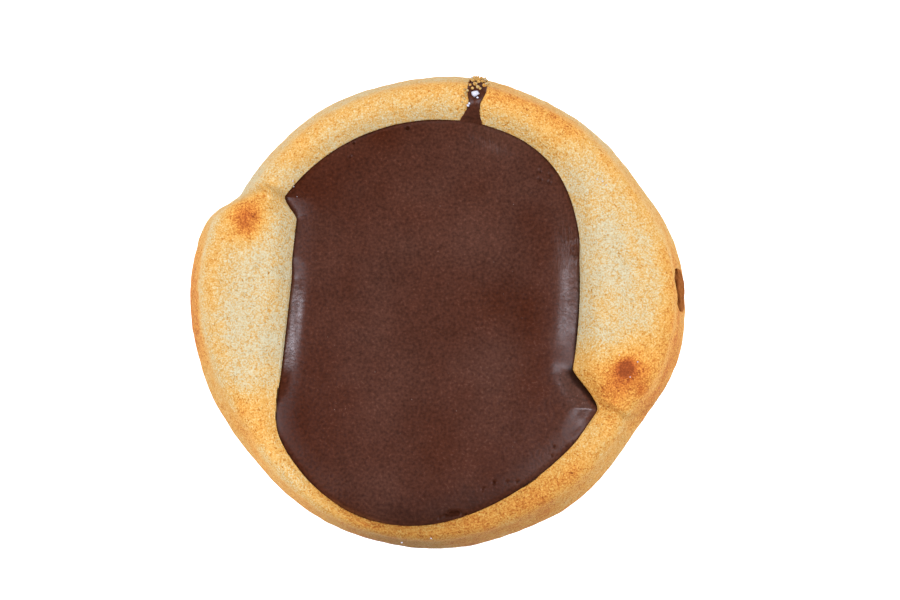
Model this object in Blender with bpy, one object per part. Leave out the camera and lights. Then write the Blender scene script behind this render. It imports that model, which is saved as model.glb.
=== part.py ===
"""A swirl biscuit with a poured chocolate centre, lying flat on its baked underside.

Two strands of short dough are piped nose to tail into a ring. Each strand starts as a
wide round head and narrows as it runs on round the rim, until it is tucked under the
head of the other. The dough is baked as one piece. Chocolate fills the hollow that the
strands leave, and one drip of it has run out over the rim.

Lengths below are in millimetres and directions in degrees, counter-clockwise from +X
as seen from above. Heights are above the underside.
"""

import math
from collections import namedtuple

import bmesh
import bpy
import numpy as np
from mathutils import Vector

MM = 0.001

# The ring that both strands make together, measured at its foot.
RIM_RADIUS = 28.15
RIM_OVAL = 0.43
RIM_OVAL_DIRECTION = 82.5
RIM_WAVES = ((1, 0.16, 289.0), (6, 0.07, 10.7), (10, 0.07, 16.8), (11, 0.055, 14.0))

# The rim's crest, a little higher towards one side, and further in where a strand is
# wider.
RIM_HEIGHT = 7.6
RIM_TILT = 0.4
RIM_TILT_DIRECTION = 75.0
LARGEST_CREST_INSET = 4.4
CREST_SHARE = 0.62

# The outer wall leans in from the foot up to a rounded shoulder.
LARGEST_LEAN = 1.7
LEAN_SHARE = 0.48
SHOULDER_DROP = 1.6
FOOT_RADIUS = 1.1

# The hollow under the chocolate, with a sloping side up to its edge, and the lip of
# dough along that edge.
FLOOR = 4.2
SEAT_HEIGHT = 6.8
SEAT_SLOPE = 2.0
LIP_WIDTH = 3.0
LIP_SHARE = 0.82

# The open pool, before the strands pinch it, is round with one lobe where it ran low,
# and lies a little to one side of the ring's middle.
POOL_RADIUS = 22.75
POOL_LOBE = 3.8
POOL_LOBE_DIRECTION = 252.0
POOL_LOBE_SPREAD = 36.4
POOL_SHIFT = 0.33
POOL_SHIFT_DIRECTION = 285.0

# The shallow ribs that the nozzle leaves along the wide part of a strand.
RIB_DEPTH = 0.2
RIB_PITCH = 3.4
RIB_INSET = 4.6
RIB_NARROWEST = 7.0

Strand = namedtuple(
    "Strand",
    "start rise fall bulge notch notch_width side side_direction corner "
    "head_direction head_distance head_length head_breadth step "
    "tip_direction tip_distance tip_height tip_radius",
)
# start: where the strand's outer side begins; its bulge beyond the ring grows over
# rise degrees and is half gone after fall degrees.
# notch: where its head pinches the pool, over notch_width degrees. From there its inner
# side runs straight, side from the centre, facing side_direction. A small corner
# rounds the far end of that straight side more.
# head: the round end, half an oval, with a step down to the tail under it.
# tip: the peak that was pulled up where the nozzle was lifted.
STRANDS = (
    Strand(
        start=149.2, rise=6.2, fall=47.5, bulge=2.55,
        notch=146.4, notch_width=4.4, side=17.85, side_direction=174.1, corner=39.0,
        head_direction=154.0, head_distance=22.6, head_length=4.0, head_breadth=4.2,
        step=1.3, tip_direction=153.8, tip_distance=25.2, tip_height=0.55, tip_radius=2.6,
    ),
    Strand(
        start=325.5, rise=20.5, fall=60.3, bulge=2.64,
        notch=330.7, notch_width=9.0, side=18.3, side_direction=355.6, corner=4.8,
        head_direction=343.0, head_distance=22.8, head_length=5.7, head_breadth=5.4,
        step=1.4, tip_direction=341.2, tip_distance=23.6, tip_height=0.75, tip_radius=1.6,
    ),
)
STEP_SLOPE = 1.3
HEAD_RUN_BEFORE = 20.0

# Chocolate. The gap keeps it clear of the dough that it lies in; on the sloping side
# of the hollow, the edge keeps a little more.
GAP = 0.35
EDGE_GAP = 0.65
CHOCOLATE_HEIGHT = 7.0
CHOCOLATE_EDGE_DROP = 0.55
CHOCOLATE_EDGE_WIDTH = 1.5

# The drip leaves the pool in this direction and ends this high on the outer wall.
DRIP_DIRECTION = 79.6
DRIP_START = 21.4
DRIP_END_HEIGHT = 3.8
DRIP_HALF_WIDTH = 0.9
DRIP_FLARE = 0.7
DRIP_FLARE_SHARE = 0.28
DRIP_FLARE_LENGTH = 0.17
DRIP_HALF_HEIGHT = 0.36

# Mesh fineness. Directions crowd towards the two heads, which lie opposite each other.
STEPS = 144
CROWDING = 26.0
CROWDED_DIRECTION = 149.0
FLOOR_RINGS = 3
SEAT_RINGS = 2
DOUGH_RINGS = 12
SHOULDER_RINGS = 4
WALL_RINGS = 3
FOOT_RINGS = 4
CHOCOLATE_TOP_RINGS = 3
CHOCOLATE_EDGE_RINGS = 5
DRIP_STEPS = 16
DRIP_RINGS = 24
EDGE_LINE_STEPS = 1440
CLEARING_STEPS = 30

DOUGH_COLOUR = (0.80, 0.52, 0.22)
CHOCOLATE_COLOUR = (0.085, 0.030, 0.018)


def turned(direction, start):
    """Degrees from start to direction, from -180 up to 180."""
    return (direction - start + 180.0) % 360.0 - 180.0


def smooth(share):
    """0 below 0, 1 above 1, and a smooth rise between them."""
    share = min(max(share, 0.0), 1.0)
    return share * share * (3.0 - 2.0 * share)


def along(strand, direction):
    """How much of a strand's full bulge there is in this direction, from 0 to 1."""
    run = (direction - strand.start) % 360.0
    grown = 1.0 - math.exp(-((run / strand.rise) ** 2))
    return grown / (1.0 + (run / strand.fall) ** 4)


def foot_distance(direction):
    """The rim's outer edge at its foot."""
    oval = RIM_OVAL * math.cos(math.radians(2.0 * (direction - RIM_OVAL_DIRECTION)))
    waves = sum(
        size * math.cos(math.radians(count * (direction - peak)))
        for count, size, peak in RIM_WAVES
    )
    bulges = sum(strand.bulge * along(strand, direction) for strand in STRANDS)
    return RIM_RADIUS + oval + waves + bulges


def pool_distance(direction):
    """The hollow's edge: the open pool, cut straight where a strand pinches it."""
    past_lobe = turned(direction, POOL_LOBE_DIRECTION) / POOL_LOBE_SPREAD
    edge = POOL_RADIUS + POOL_LOBE * math.exp(-(past_lobe**2))
    edge += POOL_SHIFT * math.cos(math.radians(direction - POOL_SHIFT_DIRECTION))
    for strand in STRANDS:
        facing = math.cos(math.radians(turned(direction, strand.side_direction)))
        straight = strand.side / max(facing, 0.05)
        power = -strand.corner
        pinched = (edge**power + straight**power) ** (1.0 / power)
        start = turned(direction, strand.notch) / strand.notch_width + 0.5
        edge += (pinched - edge) * smooth(start)
    return edge


def crest_inset(width):
    """How far the crest stands in from the foot, on dough of this width."""
    return min(LARGEST_CREST_INSET, CREST_SHARE * width)


def lean(width):
    """How far the shoulder stands in from the foot, on dough of this width."""
    return min(LARGEST_LEAN, LEAN_SHARE * crest_inset(width))


def offset_from(direction, distance, middle_direction, middle_distance):
    """How far a point is round the ring from a middle, and how far outward of it."""
    turn = math.radians(turned(direction, middle_direction))
    return distance * math.sin(turn), distance * math.cos(turn) - middle_distance


def head_relief(strand, direction, distance):
    """What a strand's head adds: a step over the tail under it, and a pulled tip."""
    forward, outward = offset_from(
        direction, distance, strand.head_direction, strand.head_distance
    )
    outward *= 1.0 - smooth(forward / strand.head_length)
    behind = min(forward, 0.0) / strand.head_length
    away = math.hypot(behind, outward / strand.head_breadth)
    run = (direction - strand.start + HEAD_RUN_BEFORE) % 360.0
    fade = 1.0 / (1.0 + (run / (strand.fall + HEAD_RUN_BEFORE)) ** 4)
    over_tail = smooth((1.0 - away) * strand.head_length / STEP_SLOPE + 0.5)
    beside_tip = offset_from(direction, distance, strand.tip_direction, strand.tip_distance)
    from_tip = math.hypot(*beside_tip) / strand.tip_radius
    return strand.step * over_tail * fade + strand.tip_height * math.exp(-(from_tip**2))


def ribs(inset, width):
    """The nozzle's ribs, only where a strand is wide."""
    wide = smooth((width - RIB_NARROWEST) / 3.0)
    inner = smooth((width - inset) / RIB_PITCH - 0.6)
    wave = math.cos(2.0 * math.pi * (inset - RIB_INSET) / RIB_PITCH) - 1.0
    return 0.5 * RIB_DEPTH * wave * wide * inner


def seat_distance(direction):
    """The foot of the hollow's sloping side."""
    return pool_distance(direction) - SEAT_SLOPE


def line_round(distance_of):
    """Points in plan along a closed line, given by its distance in each direction."""
    turns = [step * 360.0 / EDGE_LINE_STEPS for step in range(EDGE_LINE_STEPS)]
    return np.array([(distance_of(turn) * flat_direction(turn)).xy for turn in turns])


def distance_to_line(direction, distance, line):
    """The shortest way in plan from a point to a closed line."""
    place = np.array((distance * flat_direction(direction)).xy)
    run = np.roll(line, -1, axis=0) - line
    share = ((place - line) * run).sum(axis=1) / (run**2).sum(axis=1)
    nearest = line + np.clip(share, 0.0, 1.0)[:, None] * run
    return float(np.linalg.norm(place - nearest, axis=1).min())


def clear_of_line(direction, start, gap, line):
    """The farthest distance in this direction that stays a gap inside a closed line."""
    distance = start - gap
    for _ in range(CLEARING_STEPS):
        distance -= max(gap - distance_to_line(direction, distance, line), 0.0)
    return distance


def dough_height(direction, distance, edge_line):
    """Height of the dough between the hollow's edge and the rim's crest: a lip all along
    the edge, a parabola in section, that eases into the crest."""
    edge = pool_distance(direction)
    width = foot_distance(direction) - edge
    to_crest = width - crest_inset(width)
    past_edge = distance_to_line(direction, distance, edge_line)
    lip = min(past_edge / min(LIP_WIDTH, to_crest), 1.0)
    rounded = 1.0 - (1.0 - lip) ** 2
    share = LIP_SHARE * rounded + (1.0 - LIP_SHARE) * smooth(past_edge / to_crest)
    crest = RIM_HEIGHT + RIM_TILT * math.cos(math.radians(direction - RIM_TILT_DIRECTION))
    crest += sum(head_relief(strand, direction, distance) for strand in STRANDS)
    relief = ribs(foot_distance(direction) - distance, width)
    return SEAT_HEIGHT + (crest - SEAT_HEIGHT) * share + relief * rounded


def outer_section(direction, edge_line):
    """The dough from the hollow's edge over its crest and down the wall to the foot."""
    edge = pool_distance(direction)
    foot = foot_distance(direction)
    inset = crest_inset(foot - edge)
    crest = foot - inset
    section = []
    for ring in range(DOUGH_RINGS + 1):
        # Rings crowd towards the lip, where the dough turns fastest.
        distance = edge + (crest - edge) * (ring / DOUGH_RINGS) ** 1.5
        section.append((distance, dough_height(direction, distance, edge_line)))
    top = section[-1][1]
    for ring in range(1, SHOULDER_RINGS + 1):
        turn = math.radians(80.0 * ring / SHOULDER_RINGS)
        reach = (inset - lean(foot - edge)) * math.sin(turn)
        section.append((crest + reach, top - SHOULDER_DROP * (1.0 - math.cos(turn))))
    shoulder, height = section[-1]
    for ring in range(1, WALL_RINGS + 1):
        share = ring / (WALL_RINGS + 1)
        distance = shoulder + (foot - shoulder) * share
        section.append((distance, height + (FOOT_RADIUS - height) * share))
    section.append((foot, FOOT_RADIUS))
    return section


def biscuit_section(direction, edge_line):
    """The dough's outline in one direction, as (distance, height) from the middle of
    the hollow's floor over the rim to the middle of the underside."""
    seat = seat_distance(direction)
    foot = foot_distance(direction)
    section = [(seat * ring / (FLOOR_RINGS - 1), FLOOR) for ring in range(FLOOR_RINGS)]
    for ring in range(1, SEAT_RINGS):
        share = ring / SEAT_RINGS
        section.append((seat + SEAT_SLOPE * share, FLOOR + (SEAT_HEIGHT - FLOOR) * share))
    section += outer_section(direction, edge_line)
    for ring in range(1, FOOT_RINGS + 1):
        turn = math.radians(90.0 * ring / FOOT_RINGS)
        distance = foot - FOOT_RADIUS * (1.0 - math.cos(turn))
        section.append((distance, FOOT_RADIUS * (1.0 - math.sin(turn))))
    section.append((0.6 * foot, 0.0))
    section.append((0.0, 0.0))
    return section


def chocolate_section(direction, edge_line, seat_line):
    """The pool's outline in one direction, from the middle of its top over its rounded
    edge and down its sloping side to the middle of its underside."""
    edge = clear_of_line(direction, pool_distance(direction), EDGE_GAP, edge_line)
    low_edge = clear_of_line(direction, seat_distance(direction), GAP, seat_line)
    shore = edge - CHOCOLATE_EDGE_WIDTH
    section = []
    for ring in range(CHOCOLATE_TOP_RINGS):
        section.append((shore * ring / CHOCOLATE_TOP_RINGS, CHOCOLATE_HEIGHT))
    for ring in range(CHOCOLATE_EDGE_RINGS + 1):
        turn = math.radians(90.0 * ring / CHOCOLATE_EDGE_RINGS)
        drop = CHOCOLATE_EDGE_DROP * (1.0 - math.cos(turn))
        distance = shore + CHOCOLATE_EDGE_WIDTH * math.sin(turn)
        section.append((distance, CHOCOLATE_HEIGHT - drop))
    underside = FLOOR + GAP
    section.append((low_edge, underside))
    section.append((0.5 * low_edge, underside))
    section.append((0.0, underside))
    return section


def drip_path(edge_line):
    """The drip's middle line, as (distance, height): out of the pool, then clear above
    the dough over its crest and some way down the wall."""
    clear = GAP + DRIP_HALF_HEIGHT
    level = CHOCOLATE_HEIGHT - DRIP_HALF_HEIGHT
    dough = outer_section(DRIP_DIRECTION, edge_line)
    path = [(DRIP_START, level)]
    for before, here, after in zip(dough, dough[1:], dough[2:]):
        outward, rise = after[0] - before[0], after[1] - before[1]
        length = math.hypot(outward, rise)
        distance = here[0] - clear * rise / length
        height = here[1] + clear * outward / length
        if height > level and here[1] > DRIP_END_HEIGHT:
            path.append((distance, height))
    return path


def drip_sections(edge_line):
    """Even steps along the drip: middle distance and height, half width and height."""
    path = drip_path(edge_line)
    reached = [0.0]
    for here, after in zip(path, path[1:]):
        reached.append(reached[-1] + math.hypot(after[0] - here[0], after[1] - here[1]))
    sections = []
    for ring in range(DRIP_RINGS + 1):
        share = ring / DRIP_RINGS
        place = share * reached[-1]
        leg = max(i for i in range(len(path) - 1) if reached[i] <= place)
        part = (place - reached[leg]) / (reached[leg + 1] - reached[leg])
        middle = [a + (b - a) * part for a, b in zip(path[leg], path[leg + 1])]
        closing = math.sqrt(max(1.0 - (2.0 * share - 1.0) ** 10, 0.0))
        flare = math.exp(-(((share - DRIP_FLARE_SHARE) / DRIP_FLARE_LENGTH) ** 2))
        half_width = DRIP_HALF_WIDTH + DRIP_FLARE * flare
        sections.append((*middle, half_width * closing, DRIP_HALF_HEIGHT * closing))
    return sections


def outline_centre():
    """The middle of the box round the rim's foot, which the origin is put under."""
    points = [foot_distance(turn) * flat_direction(turn) for turn in range(360)]
    across = [point.x for point in points]
    deep = [point.y for point in points]
    return Vector((max(across) + min(across), max(deep) + min(deep), 0.0)) / 2.0


def flat_direction(direction):
    turn = math.radians(direction)
    return Vector((math.cos(turn), math.sin(turn), 0.0))


def ball_mesh(name, steps, rings):
    """A ball as a blank: its rings are numbered from its top point down, and its points
    are moved to where a section says."""
    mesh = bpy.data.meshes.new(name)
    ball = bmesh.new()
    bmesh.ops.create_uvsphere(ball, u_segments=steps, v_segments=rings, radius=1.0)
    ball.to_mesh(mesh)
    ball.free()
    return mesh


def ring_and_direction(point, rings):
    """Which ring of a ball a point is on, and its direction round the ball."""
    ring = round(math.acos(max(-1.0, min(1.0, point.z))) / math.pi * rings)
    return ring, math.degrees(math.atan2(point.y, point.x)) % 360.0


def crowded(direction):
    """The direction moved towards the nearer head."""
    twice = math.radians(2.0 * (direction - CROWDED_DIRECTION))
    return direction - 0.5 * CROWDING * math.sin(twice)


def turned_mesh(name, section_of, lines, centre):
    """A ball pressed into a round with a section of its own in each direction."""
    rings = len(section_of(0.0, *lines)) - 1
    mesh = ball_mesh(name, STEPS, rings)
    sections = {}
    for vertex in mesh.vertices:
        ring, turn = ring_and_direction(vertex.co, rings)
        direction = crowded(round(turn * STEPS / 360.0) * 360.0 / STEPS)
        if direction not in sections:
            sections[direction] = section_of(direction, *lines)
        distance, height = sections[direction][ring]
        place = distance * flat_direction(direction) - centre
        place.z = height
        vertex.co = place * MM
    return mesh


def drip_mesh(name, edge_line, centre):
    """A ball drawn out along the drip's way over the rim."""
    mesh = ball_mesh(name, DRIP_STEPS, DRIP_RINGS)
    outward = flat_direction(DRIP_DIRECTION)
    sideways = flat_direction(DRIP_DIRECTION + 90.0)
    sections = drip_sections(edge_line)
    for vertex in mesh.vertices:
        ring, turn = ring_and_direction(vertex.co, DRIP_RINGS)
        distance, height, half_width, half_height = sections[ring]
        before, after = sections[max(ring - 1, 0)], sections[min(ring + 1, DRIP_RINGS)]
        slope = math.atan2(after[1] - before[1], after[0] - before[0])
        across = half_width * math.cos(math.radians(turn))
        above = half_height * math.sin(math.radians(turn))
        place = (distance - above * math.sin(slope)) * outward - across * sideways - centre
        place.z = height + above * math.cos(slope)
        vertex.co = place * MM
    return mesh


def principled(name, colour, roughness):
    material = bpy.data.materials.new(name)
    material.use_nodes = True
    shader = material.node_tree.nodes["Principled BSDF"]
    shader.inputs["Base Color"].default_value = (*colour, 1.0)
    shader.inputs["Roughness"].default_value = roughness
    shader.inputs["Metallic"].default_value = 0.0
    return material


def add_object(name, mesh, material, collection):
    mesh.materials.append(material)
    mesh.shade_smooth()
    thing = bpy.data.objects.new(name, mesh)
    collection.objects.link(thing)
    return thing


def new_collection(name):
    collection = bpy.data.collections.new(name)
    bpy.context.scene.collection.children.link(collection)
    return collection


def fuse(thing, other):
    """Joins other into thing, and keeps other only as a hidden tool."""
    other.hide_render = True
    other.display_type = "WIRE"
    union = thing.modifiers.new("fused_drip", "BOOLEAN")
    union.operation = "UNION"
    union.object = other
    union.solver = "EXACT"


def build():
    for thing in list(bpy.data.objects):
        bpy.data.objects.remove(thing)
    parts = new_collection("swirl_biscuit")
    tools = new_collection("swirl_biscuit_tools")
    dough = principled("baked_dough", DOUGH_COLOUR, 0.85)
    chocolate = principled("chocolate", CHOCOLATE_COLOUR, 0.35)
    centre = outline_centre()
    edge_line = line_round(pool_distance)
    seat_line = line_round(seat_distance)

    biscuit = turned_mesh("biscuit", biscuit_section, (edge_line,), centre)
    add_object("biscuit", biscuit, dough, parts)
    pool_lines = (edge_line, seat_line)
    pool_mesh = turned_mesh("chocolate_filling", chocolate_section, pool_lines, centre)
    pool = add_object("chocolate_filling", pool_mesh, chocolate, parts)
    drip = add_object("drip", drip_mesh("drip", edge_line, centre), chocolate, tools)
    fuse(pool, drip)


build()
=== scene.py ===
"""The looks of a swirl-piped biscuit with a chocolate centre, on a pale floor.

Lengths below are in millimetres and directions in degrees, counter-clockwise from +X
as seen from above, as on the solids. MM turns them into metres where a mesh is made.
"""

import itertools
import math
from collections import namedtuple

import bpy
import numpy as np
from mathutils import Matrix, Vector


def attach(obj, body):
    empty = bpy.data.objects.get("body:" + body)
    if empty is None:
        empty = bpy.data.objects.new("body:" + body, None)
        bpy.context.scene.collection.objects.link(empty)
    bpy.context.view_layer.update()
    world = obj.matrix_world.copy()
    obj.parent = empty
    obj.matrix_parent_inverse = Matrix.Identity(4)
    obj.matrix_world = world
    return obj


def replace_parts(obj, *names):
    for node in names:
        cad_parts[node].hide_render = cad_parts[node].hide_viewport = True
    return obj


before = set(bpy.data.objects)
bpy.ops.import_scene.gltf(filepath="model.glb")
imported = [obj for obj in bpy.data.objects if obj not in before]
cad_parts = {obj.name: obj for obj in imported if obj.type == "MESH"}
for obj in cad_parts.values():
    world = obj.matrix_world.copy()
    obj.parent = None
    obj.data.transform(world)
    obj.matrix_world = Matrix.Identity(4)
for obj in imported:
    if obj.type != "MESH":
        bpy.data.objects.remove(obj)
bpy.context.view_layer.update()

MM = 0.001

# The dough's form, as on its solid.
RIM_RADIUS = 28.15
RIM_OVAL = 0.43
RIM_OVAL_DIRECTION = 82.5
RIM_WAVES = ((1, 0.16, 289.0), (6, 0.07, 10.7), (10, 0.07, 16.8), (11, 0.055, 14.0))
RIM_HEIGHT = 7.6
RIM_TILT = 0.4
RIM_TILT_DIRECTION = 75.0
LARGEST_CREST_INSET = 4.4
CREST_SHARE = 0.62
LARGEST_LEAN = 1.7
LEAN_SHARE = 0.48
SHOULDER_DROP = 1.6
FOOT_RADIUS = 1.1
FLOOR = 4.2
SEAT_HEIGHT = 6.8
SEAT_SLOPE = 2.0
LIP_WIDTH = 3.0
STEP_SLOPE = 1.3
LIP_SHARE = 0.82
POOL_RADIUS = 22.75
POOL_LOBE = 3.8
POOL_LOBE_DIRECTION = 252.0
POOL_LOBE_SPREAD = 36.4
POOL_SHIFT = 0.33
POOL_SHIFT_DIRECTION = 285.0
RIB_DEPTH = 0.2
RIB_PITCH = 3.4
RIB_INSET = 4.6
RIB_NARROWEST = 7.0

Strand = namedtuple(
    "Strand",
    "start rise fall bulge notch notch_width side side_direction corner "
    "head_direction head_distance head_length head_breadth step "
    "tip_direction tip_distance tip_height tip_radius",
)
STRANDS = (
    Strand(
        start=149.2, rise=6.2, fall=47.5, bulge=2.55,
        notch=146.4, notch_width=4.4, side=17.85, side_direction=174.1, corner=39.0,
        head_direction=154.0, head_distance=22.6, head_length=4.0, head_breadth=4.2,
        step=1.3, tip_direction=153.8, tip_distance=25.2, tip_height=0.55, tip_radius=2.6,
    ),
    Strand(
        start=325.5, rise=20.5, fall=60.3, bulge=2.64,
        notch=330.7, notch_width=9.0, side=18.3, side_direction=355.6, corner=4.8,
        head_direction=343.0, head_distance=22.8, head_length=5.7, head_breadth=5.4,
        step=1.4, tip_direction=341.2, tip_distance=23.6, tip_height=0.75, tip_radius=1.6,
    ),
)
CROWDING = 26.0
CROWDED_DIRECTION = 149.0

# Where the crease under each head's end lies, beyond the oval of that end.
CREASES = (-0.1, 0.95)
CREASE_WIDTH = 0.45
CREASE_DEPTH = 0.12

# A groove along the outer side of the first strand.
GROOVE_INSET = 1.9
GROOVE_WIDTH = 0.75
GROOVE_DEPTH = 0.08
GROOVE_START = 154.0
GROOVE_END = 190.0

# Local browning, and in one patch painted shadow: a patch's place on the ring, its size
# along and across it, and amount.
Patch = namedtuple("Patch", "direction distance along across amount")
BROWNING_AND_SHADOW_PATCHES = (
    Patch(154.6, 24.9, 2.2, 2.2, 0.27),
    Patch(159.7, 23.8, 1.0, 0.9, 0.17),
    Patch(156.5, 24.5, 3.2, 2.8, 0.27),
    Patch(185.6, 25.6, 0.8, 0.5, 0.14),
    Patch(172.0, 29.6, 9.0, 0.8, 0.12),
    Patch(205.0, 27.4, 4.5, 1.4, 0.05),
    Patch(145.0, 27.0, 2.2, 2.6, -0.26),
    Patch(158.0, 24.6, 5.0, 1.8, 0.10),
    Patch(176.0, 23.4, 7.0, 2.2, -0.12),
    Patch(186.0, 27.6, 9.0, 2.0, 0.11),
    Patch(172.0, 27.2, 5.0, 1.8, 0.06),
    Patch(13.0, 22.4, 7.0, 1.6, -0.10),
    Patch(345.0, 25.5, 3.0, 3.6, 0.12),
    Patch(230.0, 27.6, 8.0, 3.0, -0.22),
    Patch(321.0, 26.0, 6.0, 4.0, -0.15),
    Patch(50.0, 29.0, 14.0, 1.0, -0.06),
    Patch(207.4, 26.2, 1.2, 0.7, 0.08),
    Patch(214.8, 26.7, 1.6, 0.9, 0.08),
    Patch(341.0, 23.6, 0.95, 0.95, 0.44),
    Patch(342.0, 23.8, 2.6, 1.9, 0.28),
    # Painted shadow in the fold beside the right head's end.
    Patch(336.8, 26.2, 1.2, 0.7, 0.22),
    Patch(334.0, 23.6, 3.0, 2.6, 0.16),
    Patch(74.0, 27.0, 3.0, 2.0, 0.14),
    Patch(61.0, 26.6, 4.0, 1.5, 0.16),
    Patch(44.0, 26.9, 5.0, 1.3, 0.08),
    Patch(22.0, 27.4, 7.0, 1.4, 0.14),
    Patch(19.5, 24.2, 4.0, 1.1, 0.16),
    Patch(356.0, 26.4, 4.5, 1.3, 0.10),
    Patch(8.0, 23.9, 4.0, 0.9, 0.10),
    Patch(358.0, 28.4, 8.0, 1.3, 0.22),
    Patch(7.0, 27.6, 6.0, 1.4, 0.07),
    Patch(186.0, 29.2, 9.0, 1.1, 0.16),
)

# The chocolate.
CHOCOLATE_HEIGHT = 7.0
POOL_LAP = 0.1
SHORE_WIDTH = 0.9
SHORE_DROP = 0.35
EDGE_WAVE = 0.2
EASE_WIDTH = 3.2
EASE_DROP = 0.22
FINE_BAND = 6.0
DRIP_DIRECTION = 79.6

# The drip: how many rings and steps it has, how far inside the pool it starts and how
# low it ends, and its section.
DRIP_LENGTHS = 90
DRIP_STEPS = 40
DRIP_START = 1.9
DRIP_SUNK = 0.18
DRIP_THICKNESS = 0.34
DRIP_END_HEIGHT = 1.6
DRIP_HALF_WIDTH = 0.76
DRIP_FLARE = 0.55
DRIP_FLARE_LENGTH = 1.1
DRIP_COVER = 1.2

# The smear on the outer wall: its first and last direction, its rings and steps, and
# its middle height, half its height and its thickness.
SMEAR_START = 9.3
SMEAR_END = -1.0
SMEAR_LENGTHS = 60
SMEAR_STEPS = 32
SMEAR_HEIGHT = 3.9
SMEAR_HALF_HEIGHT = 2.4
SMEAR_THICKNESS = 0.24

# Holes in the chocolate, left by bubbles and by a cracked lip at its lower edge:
# direction, distance, radius and depth.
BUBBLES = (
    (99.5, 21.6, 0.26, 0.30),
    (117.2, 21.9, 0.20, 0.20),
    (120.5, 20.6, 0.18, 0.16),
    (50.6, 19.4, 0.22, 0.22),
    (49.0, 20.6, 0.20, 0.20),
    (52.5, 20.2, 0.16, 0.18),
    (47.5, 19.9, 0.18, 0.16),
    (270.9, 25.3, 0.18, 0.26),
    (272.5, 25.1, 0.22, 0.34),
    (273.9, 24.9, 0.36, 0.40),
    (275.4, 24.9, 0.34, 0.40),
    (277.8, 25.2, 0.18, 0.26),
    (284.0, 22.6, 0.15, 0.18),
    (287.7, 22.2, 0.19, 0.22),
    (291.5, 22.7, 0.13, 0.16),
    (294.3, 23.1, 0.17, 0.14),
    (307.2, 22.6, 0.14, 0.14),
    (309.4, 21.9, 0.13, 0.14),
)

# The chocolate's sloping sides that shine: middle direction, half their width, slope,
# how far from the pool's edge they start at their first and last direction and where
# they end, how much they shine, how much more at their last direction than on average,
# and how softly their slope begins and ends.
Side = namedtuple("Side", "direction half_width slope first_start last_start end sheen gain soft")
SIDES = (
    Side(186.5, 21.0, 0.34, 0.30, 0.50, 1.7, 0.80, 0.0, 0.22),
    Side(359.2, 22.3, 0.36, 0.90, 0.15, 2.4, 0.44, 0.45, 0.5),
    Side(327.5, 9.5, 0.38, 1.05, 0.90, 2.3, 0.85, -0.3, 0.3),
)
# Over how many degrees the shine fades out before a side's ends.
SHEEN_FADE = 14.0

# Grains stuck on the drip: how far from the ring's middle along it and to its left,
# then radius.
DRIP_CRUMBS = (
    (26.1, 0.55, 0.20), (26.2, -0.35, 0.16), (26.3, -0.05, 0.22), (26.5, 0.90, 0.18),
    (26.6, 0.35, 0.26), (26.7, -0.75, 0.22), (26.9, 0.00, 0.22), (26.9, -1.10, 0.16),
    (27.1, 0.70, 0.24), (27.2, -0.35, 0.22), (27.2, -0.95, 0.22), (27.4, 0.30, 0.22),
    (27.5, -0.60, 0.18), (27.6, 0.95, 0.18), (27.7, 0.00, 0.20), (27.7, -1.15, 0.18),
    (27.8, 0.60, 0.18), (28.0, -0.40, 0.20), (28.0, 0.20, 0.16), (28.1, -0.85, 0.18),
    (28.2, 0.75, 0.20), (28.3, 0.45, 0.16), (28.3, -0.15, 0.18), (28.4, -0.60, 0.16),
    (28.5, 0.20, 0.14), (25.8, 1.05, 0.16), (25.5, 1.30, 0.16), (25.2, 1.15, 0.13),
    (25.0, 1.55, 0.14), (24.8, 1.25, 0.12), (26.0, 1.45, 0.14), (24.4, 1.45, 0.12),
)
DRIP_SUGAR = (
    (25.45, 0.10, 0.40), (24.2, 0.70, 0.19), (24.38, 0.58, 0.15), (26.9, -0.8, 0.12),
    (25.15, -0.25, 0.14), (27.6, 0.4, 0.12), (28.3, 1.0, 0.12),
)
# Sugar grains elsewhere on the biscuit: direction, distance and radius.
SUGAR_SPECKS = (
    (139.3, 22.5, 0.10), (140.4, 22.3, 0.08), (142.2, 21.2, 0.05),
    (38.0, 24.2, 0.10), (36.6, 24.5, 0.10), (35.2, 24.6, 0.08), (343.5, 24.7, 0.09),
    (338.9, 24.4, 0.08), (344.0, 22.4, 0.07), (261.5, 28.4, 0.12), (268.5, 27.7, 0.09),
)

# The dough's colours from unbaked pale to dark brown, in linear light.
BROWNING_STOPS = (
    (0.0, (0.425, 0.378, 0.240)),
    (0.22, (0.488, 0.350, 0.150)),
    (0.40, (0.530, 0.306, 0.080)),
    (0.55, (0.552, 0.268, 0.052)),
    (0.70, (0.48, 0.170, 0.027)),
    (0.85, (0.37, 0.092, 0.017)),
    (1.0, (0.23, 0.050, 0.011)),
)
# Set chocolate where it is clear, where a dull bloom and a broad painted sheen lie on it,
# and where it is so thin that the dough shows through.
CLEAR_CHOCOLATE = (0.0370, 0.0064, 0.0008)
BLOOM_AND_SHEEN_CHOCOLATE = (0.0550, 0.0198, 0.0113)
THIN_CHOCOLATE = (0.24, 0.082, 0.022)
SUGAR_COLOUR = (0.46, 0.47, 0.53)
DUST_COLOUR = (0.3, 0.2, 0.16)

# How fine the meshes are.
DOUGH_STEPS = 720
TOP_SHARES = np.linspace(0.0, 1.0, 64) ** 1.35
POOL_STEPS = 900

# The photograph's view: the camera's elevation, and pixels for each millimetre at the
# biscuit's foot, with the picture's middle and the biscuit's.
ELEVATION = 84.0
PIXELS_PER_MM = 496.0 / 60.0
PICTURE_WIDTH = 900.0
PICTURE_MIDDLE = (450.0, 300.0)
BISCUIT_MIDDLE = (437.6, 310.8)
LENS = 120.0
SENSOR = 36.0
# Half the pale floor's side, in metres.
FLOOR_HALF = 1.5


def turned(direction, start):
    """Degrees from start to direction, from -180 up to 180."""
    return (direction - start + 180.0) % 360.0 - 180.0


def smooth(share):
    """0 below 0, 1 above 1, and a smooth rise between them."""
    share = np.clip(share, 0.0, 1.0)
    return share * share * (3.0 - 2.0 * share)


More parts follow.
